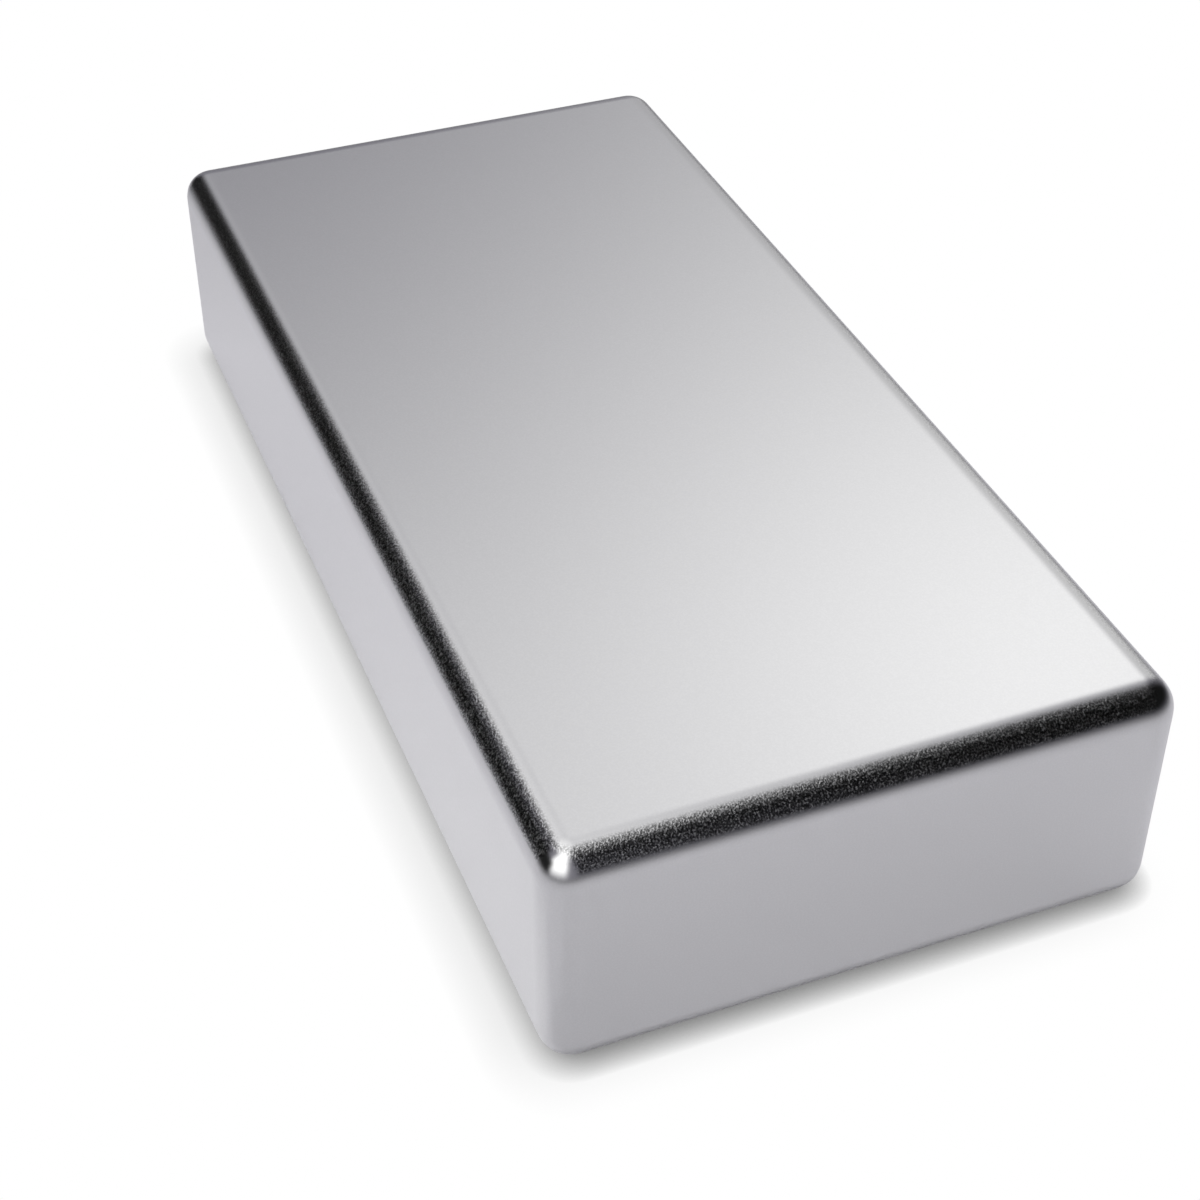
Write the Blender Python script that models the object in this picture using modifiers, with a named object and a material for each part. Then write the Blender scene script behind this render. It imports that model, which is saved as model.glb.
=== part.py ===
"""Nickel-plated neodymium block magnet, lying on its large pole face.

X is the length, Y the width and Z the thickness, which is also the axis of magnetisation.
The origin is the centre of the lower pole face. Everything is in metres.
"""

import bpy
from mathutils import Matrix

# Block size over the plating
LENGTH = 0.0252
WIDTH = 0.0120
THICKNESS = 0.0050

# Tumbling and plating leave every edge and corner with the same small round
EDGE_RADIUS = 0.00063
ROUND_STEPS = 12

# Satin nickel plate: a pale grey metal, faintly cool
PLATE_COLOUR = (0.66, 0.65, 0.68, 1.0)
PLATE_METALLIC = 1.0
PLATE_ROUGHNESS = 0.28


def clear_scene():
    for obj in list(bpy.data.objects):
        bpy.data.objects.remove(obj)


def new_collection(name):
    collection = bpy.data.collections.new(name)
    bpy.context.scene.collection.children.link(collection)
    return collection


def nickel_plate():
    material = bpy.data.materials.new("satin_nickel_plate")
    material.use_nodes = True
    shader = material.node_tree.nodes["Principled BSDF"]
    shader.inputs["Base Color"].default_value = PLATE_COLOUR
    shader.inputs["Metallic"].default_value = PLATE_METALLIC
    shader.inputs["Roughness"].default_value = PLATE_ROUGHNESS
    return material


def magnet_block(collection):
    """A sintered block, rounded on all twelve edges, with the plating as its skin."""
    bpy.ops.mesh.primitive_cube_add(size=1.0)
    block = bpy.context.object
    block.name = "magnet_block"
    block.data.name = "magnet_block"

    # The cube takes its real size in its mesh, so that the round isn't stretched
    block.data.transform(Matrix.Diagonal((LENGTH, WIDTH, THICKNESS, 1.0)))
    block.location.z = THICKNESS / 2

    rounding = block.modifiers.new("edge_round", "BEVEL")
    rounding.width = EDGE_RADIUS
    rounding.segments = ROUND_STEPS
    rounding.limit_method = "ANGLE"

    # Smooth over the rounds, with the six faces still shading dead flat
    block.data.shade_smooth()
    rounding.harden_normals = True
    block.data.materials.append(nickel_plate())

    for owner in list(block.users_collection):
        owner.objects.unlink(block)
    collection.objects.link(block)
    return block


def main():
    clear_scene()
    magnet_block(new_collection("block_magnet"))


if __name__ == "__main__":
    main()
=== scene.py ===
"""Nickel-plated block magnet: the plated block, its finish, and the studio that it is seen in.

The block lies on its large pole face. X is its length, Y its width and Z its thickness. The
origin is the centre of the lower pole face. The camera looks from the near end, which is +X,
and sees the left side, which is -Y. Lengths are in metres and angles are in degrees, unless a
name or a property's unit says otherwise.
"""

import math

import bpy
from mathutils import Matrix, Vector


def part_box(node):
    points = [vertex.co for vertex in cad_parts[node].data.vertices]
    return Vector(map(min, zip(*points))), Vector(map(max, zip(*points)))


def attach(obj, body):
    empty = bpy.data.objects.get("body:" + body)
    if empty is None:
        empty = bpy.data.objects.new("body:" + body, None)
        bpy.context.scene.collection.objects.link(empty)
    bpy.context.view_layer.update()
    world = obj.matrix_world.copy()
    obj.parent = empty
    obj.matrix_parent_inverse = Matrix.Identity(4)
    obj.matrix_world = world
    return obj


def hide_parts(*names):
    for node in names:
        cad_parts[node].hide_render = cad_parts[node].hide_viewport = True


bl_info = {
    "name": "Block Magnet Studio",
    "version": (1, 0, 0),
    "blender": (4, 5, 0),
    "location": "View3D > Sidebar > Magnet",
    "description": "Builds a satin nickel-plated block magnet and a plain studio round it",
    "category": "Add Mesh",
}

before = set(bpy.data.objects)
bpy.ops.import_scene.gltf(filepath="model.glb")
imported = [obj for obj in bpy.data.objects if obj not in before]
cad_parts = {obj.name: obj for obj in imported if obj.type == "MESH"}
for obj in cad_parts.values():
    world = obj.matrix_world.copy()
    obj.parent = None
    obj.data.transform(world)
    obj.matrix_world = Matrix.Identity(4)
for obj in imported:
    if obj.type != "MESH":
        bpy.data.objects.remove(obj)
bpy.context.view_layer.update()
BLOCK_LOW, BLOCK_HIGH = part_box("magnet_block")

MM = 0.001

# Camera: beyond the near end and off the left side, looking down along the block
CAMERA_PLACE = Vector((36.176, -14.320, 30.763)) * MM
CAMERA_AIM = Vector((6.483, -2.659, 5.000)) * MM
NEAREST_SEEN = 1 * MM

# The domed cards are centred on the block at these distances, and the flat ones lie at these
# heights. Most are large next to the block, so that a whole face mirrors much the same patch of
# them. The flags hang nearer than the softboxes, and hide what is behind them
BACK_DISTANCE = 2.6
OVERHEAD_HEIGHT = 1.1
KEY_DISTANCE = 1.0
FLAG_DISTANCE = 0.9
FILL_DISTANCE = 0.8
STRIP_HEIGHT = 0.005 * MM

# Degrees across one facet of a domed card
DOME_STEP = 4.0

# Where the shoulders of the rounds are grained, by how upright the surface's normal is: 1 on a
# pole face and 0 on a side. The grain starts a little way round, is full along the shoulder, and
# has gone again nearer the side
SHOULDER_START = 0.99
SHOULDER_FULL = 0.93
SHOULDER_LAST = 0.56
SHOULDER_END = 0.42

# Where the corners lose that grain, by the product of the normal's X and Y parts
CORNER_START = 0.02
CORNER_FULL = 0.12

# Wear grows along X from the far end to just past the middle, and drops at the far long edge
WEAR_START = -12 * MM
WEAR_FULL = 2 * MM
WEAR_LEAST = 0.3
FAR_SIDE_START = 4.5 * MM
FAR_SIDE_FULL = 5.7 * MM

# The grain's painted shade and highlight: the noise's values in the hollows and on the tops, how much
# the plate's colour is darkened there as painted shade and lightened there as painted highlight, and
# how much of that the faces and the shoulders show
HOLLOW_VALUE = 0.38
TOP_VALUE = 0.70
HOLLOW_PAINTED_SHADE = -1.2
TOP_PAINTED_HIGHLIGHT = 0.4
FACE_CONTRAST = 0.025
SHOULDER_CONTRAST = 0.60

# The scuffed tops of the shoulders' grains
SCUFF_VALUE = 0.55
SCUFF_SHARE = 0.25
SCUFF_ROUGHNESS = 0.75

# Light that comes from everywhere else in the room
ROOM_LEVEL = 0.30
ROOM_COLOUR = "F3F1FF"

# The floor is a partly lit sheet with a painted pool of light round the block, which falls off with
# distance to a dark share.
# The metal sees the fall-off, and the camera sees pure white with only the shadows at the block's
# foot. The floor lies a hair under the block, and off centre, so that the seam between its two
# triangles is out of sight
FLOOR_SIZE = 8.0
FLOOR_SHIFT = 1.0
FLOOR_DROP = 0.01 * MM
SHEET_BRIGHT = 8 * MM
SHEET_END = 53 * MM
PAINTED_POOL_FAR_SHARE = 0.35
SHEET_EVENNESS = 0.55
SHEET_LEVEL = 0.975

# Two shadows at the foot: a narrow dark one where the block meets the sheet, and a wide soft one.
# The lean deepens the first before the near end and the second along the left side
CONTACT_WIDTH = 0.5 * MM
CONTACT_DEPTH = 0.80
CONTACT_LEAN = (-0.35, -0.30, 1.0)
FOOT_SHADOW_WIDTH = 1.2 * MM
FOOT_SHADOW_DEPTH = 0.30
FOOT_SHADOW_LEAN = (0.2, 0.6, 0.77)
SHADOW_SAMPLES = 6


def linear(code):
    """Turns an sRGB hex code, as a paint or web colour is written, into linear RGB."""
    values = [int(code[i:i + 2], 16) / 255 for i in (0, 2, 4)]
    return tuple(v / 12.92 if v <= 0.04045 else ((v + 0.055) / 1.055) ** 2.4 for v in values)


def add_node(tree, kind, inputs=None, **settings):
    """Adds a node with its settings, and fills its inputs with values or other nodes' outputs."""
    node = tree.nodes.new(kind)
    for name, value in settings.items():
        setattr(node, name, value)
    for name, value in (inputs or {}).items():
        if isinstance(value, bpy.types.NodeSocket):
            tree.links.new(value, node.inputs[name])
        else:
            node.inputs[name].default_value = value
    return node


def new_material(name):
    material = bpy.data.materials.new(name)
    material.use_nodes = True
    material.node_tree.nodes.clear()
    return material


class NickelPlateSettings(bpy.types.PropertyGroup):
    colour: bpy.props.FloatVectorProperty(
        name="Nickel", description="Colour of the plate where it reflects white",
        subtype="COLOR", size=3, min=0.0, max=1.0, default=linear("D6D6D6"))
    roughness: bpy.props.FloatProperty(
        name="Roughness", description="How satin the plate is", subtype="FACTOR",
        min=0.0, max=1.0, default=0.276)
    grain: bpy.props.FloatProperty(
        name="Grain", description="Width of one grain of the tumbled surface under the plate",
        unit="LENGTH", precision=6, min=0.000001, default=0.035 * MM)
    face_grain: bpy.props.FloatProperty(
        name="Face grain", description="How far the grains stand proud on the flat faces",
        unit="LENGTH", precision=7, min=0.0, default=0.0003 * MM)
    shoulder_grain: bpy.props.FloatProperty(
        name="Shoulder grain", description="How far the grains stand proud along the rounds",
        unit="LENGTH", precision=7, min=0.0, default=0.005 * MM)


class BlockSettings(bpy.types.PropertyGroup):
    edge_round: bpy.props.FloatProperty(
        name="Edge round", description="How far the round runs in from each edge",
        unit="LENGTH", precision=5, min=0.00005, default=0.68 * MM)
    fullness: bpy.props.FloatProperty(
        name="Fullness", description="Shape of the round: 0.5 is circular, more eases into the faces",
        subtype="FACTOR", min=0.0, max=1.0, default=0.54)
    steps: bpy.props.IntProperty(
        name="Steps", description="Facets across each round", min=2, max=64, default=32)


class StudioSettings(bpy.types.PropertyGroup):
    lens: bpy.props.FloatProperty(
        name="Lens", description="Focal length on a 36 mm sensor", unit="CAMERA",
        min=1.0, default=67.49)
    floor: bpy.props.FloatVectorProperty(
        name="Floor", description="Colour of the floor", subtype="COLOR", size=3,
        min=0.0, max=1.0, default=linear("E0DFE4"))


def satin_nickel_plate(settings):
    """Nickel plated over a tumbled block.

    The tumbled metal under the plate is all small, gentle slopes, which blur what it mirrors with
    no far-spreading haze, so that dark things still mirror black. Its grain is fine and faint on
    the faces. Along the shoulders of the rounds, where the blocks knocked together, it is stronger
    and sparkles. A real grain is 0.01 to 0.02 mm wide, and is drawn about twice that to show."""
    material = new_material("satin_nickel_plate")
    tree = material.node_tree
    surface = add_node(tree, "ShaderNodeTexCoord")
    place = surface.outputs["Object"]

    # The knocks were harder towards the near end, and light along the far long side
    spot = add_node(tree, "ShaderNodeSeparateXYZ", {"Vector": place})
    near_end = add_node(tree, "ShaderNodeMapRange", {
        "Value": spot.outputs["X"], "From Min": WEAR_START, "From Max": WEAR_FULL,
        "To Min": WEAR_LEAST, "To Max": 1.0})
    far_side = add_node(tree, "ShaderNodeMapRange", {
        "Value": spot.outputs["Y"], "From Min": FAR_SIDE_START, "From Max": FAR_SIDE_FULL,
        "To Min": 1.0, "To Max": WEAR_LEAST})
    wear = add_node(tree, "ShaderNodeMath", {
        0: near_end.outputs["Result"], 1: far_side.outputs["Result"]}, operation="MULTIPLY")

    # How near the surface is to the shoulder between a pole face and a side: 0 on flats, 1 there
    normal = add_node(tree, "ShaderNodeSeparateXYZ", {"Vector": surface.outputs["Normal"]})
    upright = add_node(tree, "ShaderNodeMath", {0: normal.outputs["Z"]}, operation="ABSOLUTE")
    off_flat = add_node(tree, "ShaderNodeMapRange", {
        "Value": upright.outputs["Value"], "From Min": SHOULDER_START, "From Max": SHOULDER_FULL},
        interpolation_type="SMOOTHSTEP")
    off_side = add_node(tree, "ShaderNodeMapRange", {
        "Value": upright.outputs["Value"], "From Min": SHOULDER_END, "From Max": SHOULDER_LAST},
        interpolation_type="SMOOTHSTEP")
    between = add_node(tree, "ShaderNodeMath", {
        0: off_flat.outputs["Result"], 1: off_side.outputs["Result"]}, operation="MULTIPLY")
    worn = add_node(tree, "ShaderNodeMath", {
        0: between.outputs["Value"], 1: wear.outputs["Value"]}, operation="MULTIPLY")

    # The corners are burnished smooth, where the surface leans towards both sides at once
    both = add_node(tree, "ShaderNodeMath", {
        0: normal.outputs["X"], 1: normal.outputs["Y"]}, operation="MULTIPLY")
    both_ways = add_node(tree, "ShaderNodeMath", {0: both.outputs["Value"]}, operation="ABSOLUTE")
    off_corner = add_node(tree, "ShaderNodeMapRange", {
        "Value": both_ways.outputs["Value"], "From Min": CORNER_START, "From Max": CORNER_FULL,
        "To Min": 1.0, "To Max": 0.0}, interpolation_type="SMOOTHSTEP")
    shoulder = add_node(tree, "ShaderNodeMath", {
        0: worn.outputs["Value"], 1: off_corner.outputs["Result"]}, operation="MULTIPLY")

    grain = add_node(tree, "ShaderNodeTexNoise", {
        "Vector": place, "Scale": 1.0 / settings.grain, "Detail": 1.0, "Roughness": 0.5})
    height = add_node(tree, "ShaderNodeMapRange", {
        "Value": shoulder.outputs["Value"],
        "To Min": settings.face_grain, "To Max": settings.shoulder_grain})
    bump = add_node(tree, "ShaderNodeBump", {
        "Height": grain.outputs["Fac"], "Strength": 1.0, "Distance": height.outputs["Result"]})

    # Painted shade and highlight: the plate's colour is darker in the grain's hollows and lighter on
    # its tops, most on the shoulders
    contrast = add_node(tree, "ShaderNodeMapRange", {
        "Value": shoulder.outputs["Value"], "To Min": FACE_CONTRAST, "To Max": SHOULDER_CONTRAST})
    shade = add_node(tree, "ShaderNodeMapRange", {
        "Value": grain.outputs["Fac"], "From Min": HOLLOW_VALUE, "From Max": TOP_VALUE,
        "To Min": HOLLOW_PAINTED_SHADE, "To Max": TOP_PAINTED_HIGHLIGHT})
    level = add_node(tree, "ShaderNodeMath", {
        0: shade.outputs["Result"], 1: contrast.outputs["Result"], 2: 1.0}, operation="MULTIPLY_ADD")
    tone = add_node(tree, "ShaderNodeVectorMath", {
        0: settings.colour, "Scale": level.outputs["Value"]}, operation="SCALE")
    plate = add_node(tree, "ShaderNodeBsdfMetallic", {
        "Base Color": tone.outputs["Vector"], "Edge Tint": (1, 1, 1, 1),
        "Roughness": settings.roughness, "Normal": bump.outputs["Normal"]},
        fresnel_type="F82", distribution="BECKMANN")

    # The knocks scuff the tops, which scatter a little light into the dark reflections
    scuffed = add_node(tree, "ShaderNodeMapRange", {
        "Value": grain.outputs["Fac"], "From Min": SCUFF_VALUE, "From Max": TOP_VALUE,
        "To Max": SCUFF_SHARE})
    scuffs = add_node(tree, "ShaderNodeMath", {
        0: scuffed.outputs["Result"], 1: shoulder.outputs["Value"]}, operation="MULTIPLY")
    matt = add_node(tree, "ShaderNodeBsdfMetallic", {
        "Base Color": tone.outputs["Vector"], "Edge Tint": (1, 1, 1, 1),
        "Roughness": SCUFF_ROUGHNESS, "Normal": bump.outputs["Normal"]},
        fresnel_type="F82", distribution="BECKMANN")
    skin = add_node(tree, "ShaderNodeMixShader", {
        "Fac": scuffs.outputs["Value"], 1: plate.outputs["BSDF"], 2: matt.outputs["BSDF"]})
    add_node(tree, "ShaderNodeOutputMaterial", {"Surface": skin.outputs["Shader"]})
    return material


class MAGNET_OT_block(bpy.types.Operator):
    """Add the plated block"""
    bl_idname = "magnet.block"
    bl_label = "Plated block"

    def execute(self, context):
        shape = context.scene.magnet_block
        size = BLOCK_HIGH - BLOCK_LOW
        bpy.ops.mesh.primitive_cube_add(size=1.0)
        block = context.object
        block.name = "plated_block"
        for vertex in block.data.vertices:
            vertex.co = Vector(c * s for c, s in zip(vertex.co, size))
        block.location = (BLOCK_LOW + BLOCK_HIGH) / 2
        rounding = block.modifiers.new("edge_round", "BEVEL")
        rounding.width = shape.edge_round
        rounding.segments = shape.steps
        rounding.profile = shape.fullness
        rounding.limit_method = "ANGLE"
        rounding.harden_normals = True
        block.data.shade_smooth()
        block.data.materials.append(satin_nickel_plate(context.scene.magnet_plate))
        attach(block, "root")
        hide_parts("magnet_block")
        return {"FINISHED"}


def glowing_card(name, level, mirrored, fades, cover):
    """A card's finish: an even glow that fades to clear at its left, right, lower and upper edges.

    The level is what lights the sheet, and mirrored is what the metal shows of it. Each fade is a
    share of the card's width or height, and 0 keeps that edge hard. The cover is how much of what
    lies behind the card it hides. Reflected rays find a card by themselves, so it isn't sampled
    as a lamp."""
    material = new_material(name)
    material.cycles.emission_sampling = "NONE"
    tree = material.node_tree
    place = add_node(tree, "ShaderNodeTexCoord").outputs["UV"]
    parts = add_node(tree, "ShaderNodeSeparateXYZ", {"Vector": place})
    left, right, low, high = fades
    hides = None
    for axis, edge, inside in (
            ("X", 0.0, left), ("X", 1.0, 1.0 - right), ("Y", 0.0, low), ("Y", 1.0, 1.0 - high)):
        if inside == edge:
            continue
        # The first ramp carries the cover, and the others multiply it down at their own edges
        ramp = add_node(tree, "ShaderNodeMapRange", {
            "Value": parts.outputs[axis], "From Min": edge, "From Max": inside,
            "To Max": cover if hides is None else 1.0},
            interpolation_type="SMOOTHSTEP").outputs["Result"]
        hides = ramp if hides is None else add_node(
            tree, "ShaderNodeMath", {0: hides, 1: ramp}, operation="MULTIPLY").outputs["Value"]
    clear = add_node(tree, "ShaderNodeBsdfTransparent")
    path = add_node(tree, "ShaderNodeLightPath")
    strength = add_node(tree, "ShaderNodeMapRange", {
        "Value": path.outputs["Is Glossy Ray"], "To Min": level, "To Max": mirrored})
    glow = add_node(tree, "ShaderNodeEmission", {
        "Color": (1, 1, 1, 1), "Strength": strength.outputs["Result"]})
    mixed = add_node(tree, "ShaderNodeMixShader", {
        "Fac": hides, 1: clear.outputs["BSDF"], 2: glow.outputs["Emission"]})
    add_node(tree, "ShaderNodeOutputMaterial", {"Surface": mixed.outputs["Shader"]})
    return material


def hang(card, name, level, mirrored, fades, cover=1.0):
    """Gives a card its finish and keeps it out of the camera's sight and out of the foot shadows."""
    card.name = name
    card.data.materials.append(glowing_card(name, level, mirrored, fades, cover))
    card.visible_camera = False
    card.visible_shadow = False


def direction(azimuth, elevation):
    """Unit vector for an azimuth from -Y towards +X and an elevation above the floor."""
    turn = math.radians(azimuth)
    rise = math.radians(elevation)
    return Vector((math.sin(turn) * math.cos(rise), -math.cos(turn) * math.cos(rise), math.sin(rise)))


def dome_card(name, level, mirrored, distance, azimuths, elevations, fades):
    """A curved card that spans the given directions as seen from the block.

    Its fades are degrees at its left, right, lower and upper edges."""
    wide = azimuths[1] - azimuths[0]
    high = elevations[1] - elevations[0]
    bpy.ops.mesh.primitive_grid_add(
        x_subdivisions=round(wide / DOME_STEP), y_subdivisions=round(high / DOME_STEP),
        size=1.0, calc_uvs=True)
    card = bpy.context.object
    for vertex in card.data.vertices:
        azimuth = azimuths[0] + (vertex.co.x + 0.5) * wide
        elevation = elevations[0] + (vertex.co.y + 0.5) * high
        vertex.co = direction(azimuth, elevation) * distance
    shares = [fade / span for fade, span in zip(fades, (wide, wide, high, high))]
    hang(card, name, level, mirrored, shares)


def flat_card(name, level, mirrored, height, x_span, y_span, fades, cover=1.0):
    """A level card over the given spans. Its fades are lengths in from -X, +X, -Y and +Y."""
    bpy.ops.mesh.primitive_plane_add(size=1.0, calc_uvs=True)
    card = bpy.context.object
    wide = x_span[1] - x_span[0]
    deep = y_span[1] - y_span[0]
    for vertex in card.data.vertices:
        across = x_span[0] + (vertex.co.x + 0.5) * wide
        along = y_span[0] + (vertex.co.y + 0.5) * deep
        vertex.co = Vector((across, along, height))
    shares = [fade / span for fade, span in zip(fades, (wide, wide, deep, deep))]
    hang(card, name, level, mirrored, shares, cover)


def studio_cards():
    """Softboxes, flags and strips. A level of 1 is plain white, and 0 is black.

    The key and the overhead softbox are mirrored dimmer than they light the sheet, so that the
    upper face doesn't burn out to white where it is seen from behind or from above."""
    # The upper face mirrors the back softbox, and towards its near end the overhead one too. Their
    # long fades give it its ramp from grey to white
    dome_card(
        "back_softbox", level=1.67, mirrored=1.67, distance=BACK_DISTANCE,
        azimuths=(-146, -94), elevations=(14.6, 49.5), fades=(12, 36, 31, 3.6))
    flat_card(
        "overhead_softbox", level=2.1, mirrored=1.6, height=OVERHEAD_HEIGHT,
        x_span=(-2.69, 0.66), y_span=(-0.57, 1.02), fades=(3.05, 0.72, 0.25, 1.26))

    # The highlight on the near corner, between the two black bands
    dome_card(
        "key_softbox", level=3.6, mirrored=1.9, distance=KEY_DISTANCE,
        azimuths=(-7, 73), elevations=(-10, 90), fades=(10.4, 10.4, 48, 0))

    # The black bands along the left edge and the near one
    dome_card(
        "left_flag", level=0.02, mirrored=0.02, distance=FLAG_DISTANCE,
        azimuths=(-86, 17), elevations=(-16, 44), fades=(9.5, 9.5, 10.3, 10.3))
    dome_card(
        "right_flag", level=0.01, mirrored=0.01, distance=FLAG_DISTANCE,
        azimuths=(84, 220), elevations=(-20, 90), fades=(30, 30, 38, 31))

    # The space under the back softbox, which the rounds of the far edges mirror
    dome_card(
        "low_fill", level=0.88, mirrored=0.88, distance=FILL_DISTANCE,
        azimuths=(-149, -101), elevations=(-37, 33), fades=(4, 45, 6.4, 7.8))

    # Thin strips on the sheet, seen only in the metal: a painted pool of light near the left side's
    # foot, which lifts what the left side mirrors there, and a painted shadow before the near end's
    # foot, which dims what the near end mirrors there
    flat_card(
        "left_painted_light_strip", level=1.2, mirrored=1.2, height=STRIP_HEIGHT,
        x_span=(-6 * MM, 12.6 * MM), y_span=(-12.6 * MM, -5.8 * MM),
        fades=(14 * MM, 1 * MM, 6.6 * MM, 0), cover=0.21)
    flat_card(
        "front_painted_shadow_strip", level=0.0, mirrored=0.0, height=STRIP_HEIGHT,
        x_span=(12.4 * MM, 18 * MM), y_span=(-8 * MM, 9 * MM),
        fades=(0, 5.6 * MM, 1.5 * MM, 5 * MM), cover=0.10)


def studio_world():
    """The room: pure white to the camera, and a dim even light to everything else."""
    world = bpy.data.worlds.new("studio_world")
    bpy.context.scene.world = world
    world.use_nodes = True
    world.cycles.sampling_method = "NONE"
    tree = world.node_tree
    tree.nodes.clear()
    path = add_node(tree, "ShaderNodeLightPath")
    white = add_node(tree, "ShaderNodeBackground", {"Color": (1, 1, 1, 1), "Strength": 1.0})
    room = add_node(tree, "ShaderNodeBackground", {
        "Color": (*linear(ROOM_COLOUR), 1), "Strength": ROOM_LEVEL})
    seen = add_node(tree, "ShaderNodeMixShader", {
        "Fac": path.outputs["Is Camera Ray"], 1: room.outputs[0], 2: white.outputs[0]})
    add_node(tree, "ShaderNodeOutputWorld", {"Surface": seen.outputs[0]})


def open_light(tree, distance, lean):
    """How much light gets in past what stands within a distance, gathered round a leaned normal."""
    normal = add_node(tree, "ShaderNodeCombineXYZ", {"X": lean[0], "Y": lean[1], "Z": lean[2]})
    occlusion = add_node(tree, "ShaderNodeAmbientOcclusion", {
        "Distance": distance, "Normal": normal.outputs["Vector"]}, samples=SHADOW_SAMPLES)
    return occlusion.outputs["AO"]


def matt_white_acrylic(settings):
    """Matt white acrylic sheet: white to the camera but for the shadows at the block's foot."""
    material = new_material("matt_white_acrylic")
    material.cycles.emission_sampling = "NONE"
    tree = material.node_tree
    path = add_node(tree, "ShaderNodeLightPath")
    colour = (*settings.floor, 1.0)

    # Where the block's foot closes on the sheet, little light gets in
    contact = add_node(tree, "ShaderNodeMapRange", {
        "Value": open_light(tree, CONTACT_WIDTH, CONTACT_LEAN),
        "To Min": 1.0 - CONTACT_DEPTH, "To Max": 1.0})

    # The sheet as the metal sees it: partly lit and partly an even glow, in a painted pool of light
    # round the block that falls off with distance to a dark share
    matt = add_node(tree, "ShaderNodeBsdfDiffuse", {"Color": colour})
    strength = add_node(tree, "ShaderNodeMapRange", {
        "Value": contact.outputs["Result"], "To Max": SHEET_LEVEL})
    glow = add_node(tree, "ShaderNodeEmission", {
        "Color": colour, "Strength": strength.outputs["Result"]})
    evened = add_node(tree, "ShaderNodeMixShader", {
        "Fac": SHEET_EVENNESS, 1: matt.outputs[0], 2: glow.outputs[0]})
    place = add_node(tree, "ShaderNodeTexCoord").outputs["Object"]
    reach = add_node(tree, "ShaderNodeVectorMath", {0: place}, operation="LENGTH")
    pool = add_node(tree, "ShaderNodeMapRange", {
        "Value": reach.outputs["Value"], "From Min": SHEET_BRIGHT, "From Max": SHEET_END,
        "To Min": 1.0, "To Max": PAINTED_POOL_FAR_SHARE}, interpolation_type="SMOOTHSTEP")
    dark = add_node(tree, "ShaderNodeBsdfDiffuse", {"Color": (0, 0, 0, 1)})
    pooled = add_node(tree, "ShaderNodeMixShader", {
        "Fac": pool.outputs["Result"], 1: dark.outputs[0], 2: evened.outputs[0]})
    to_others = add_node(tree, "ShaderNodeMixShader", {
        "Fac": path.outputs["Is Glossy Ray"], 1: matt.outputs[0], 2: pooled.outputs[0]})

    # White to the camera, but for the contact and the soft shadow
    soft = add_node(tree, "ShaderNodeMapRange", {
        "Value": open_light(tree, FOOT_SHADOW_WIDTH, FOOT_SHADOW_LEAN),
        "To Min": 1.0 - FOOT_SHADOW_DEPTH, "To Max": 1.0})
    shade = add_node(tree, "ShaderNodeMath", {
        0: contact.outputs["Result"], 1: soft.outputs["Result"]}, operation="MULTIPLY")
    white = add_node(tree, "ShaderNodeEmission", {
        "Color": (1, 1, 1, 1), "Strength": shade.outputs["Value"]})
    final = add_node(tree, "ShaderNodeMixShader", {
        "Fac": path.outputs["Is Camera Ray"], 1: to_others.outputs[0], 2: white.outputs[0]})
    add_node(tree, "ShaderNodeOutputMaterial", {"Surface": final.outputs[0]})
    return material


def studio_floor(settings):
    bpy.ops.mesh.primitive_plane_add(size=FLOOR_SIZE, location=(0, 0, -FLOOR_DROP))
    floor = bpy.context.object
    floor.name = "floor"
    floor.data.transform(Matrix.Translation((0, FLOOR_SHIFT, 0)))
    floor.data.materials.append(matt_white_acrylic(settings))


def studio_camera(settings):
    camera = bpy.data.objects.new("camera", bpy.data.cameras.new("camera"))
    bpy.context.scene.collection.objects.link(camera)
    camera.data.lens = settings.lens
    camera.data.clip_start = NEAREST_SEEN
    camera.location = CAMERA_PLACE
    camera.rotation_euler = (CAMERA_AIM - CAMERA_PLACE).to_track_quat("-Z", "Y").to_euler()
    bpy.context.scene.camera = camera


class MAGNET_OT_studio(bpy.types.Operator):
    """Add the floor, the cards, the world and the camera"""
    bl_idname = "magnet.studio"
    bl_label = "Studio"

    def execute(self, context):
        settings = context.scene.magnet_studio
        context.scene.view_settings.view_transform = "Standard"
        studio_world()
        studio_floor(settings)
        studio_cards()
        studio_camera(settings)
        return {"FINISHED"}


class MAGNET_PT_panel(bpy.types.Panel):
    """Lists the block and the studio"""
    bl_label = "Block magnet"
    bl_idname = "MAGNET_PT_panel"
    bl_space_type = "VIEW_3D"
    bl_region_type = "UI"
    bl_category = "Magnet"

    def draw(self, context):
        self.layout.operator(MAGNET_OT_block.bl_idname)
        self.layout.operator(MAGNET_OT_studio.bl_idname)


CLASSES = (
    NickelPlateSettings,
    BlockSettings,
    StudioSettings,
    MAGNET_OT_block,
    MAGNET_OT_studio,
    MAGNET_PT_panel,
)


def register():
    for cls in CLASSES:
        bpy.utils.register_class(cls)
    bpy.types.Scene.magnet_plate = bpy.props.PointerProperty(type=NickelPlateSettings)
    bpy.types.Scene.magnet_block = bpy.props.PointerProperty(type=BlockSettings)
    bpy.types.Scene.magnet_studio = bpy.props.PointerProperty(type=StudioSettings)


def unregister():
    del bpy.types.Scene.magnet_studio
    del bpy.types.Scene.magnet_block
    del bpy.types.Scene.magnet_plate
    for cls in reversed(CLASSES):
        bpy.utils.unregister_class(cls)


def main():
    register()
    bpy.ops.magnet.block()
    bpy.ops.magnet.studio()


if __name__ == "__main__":
    main()
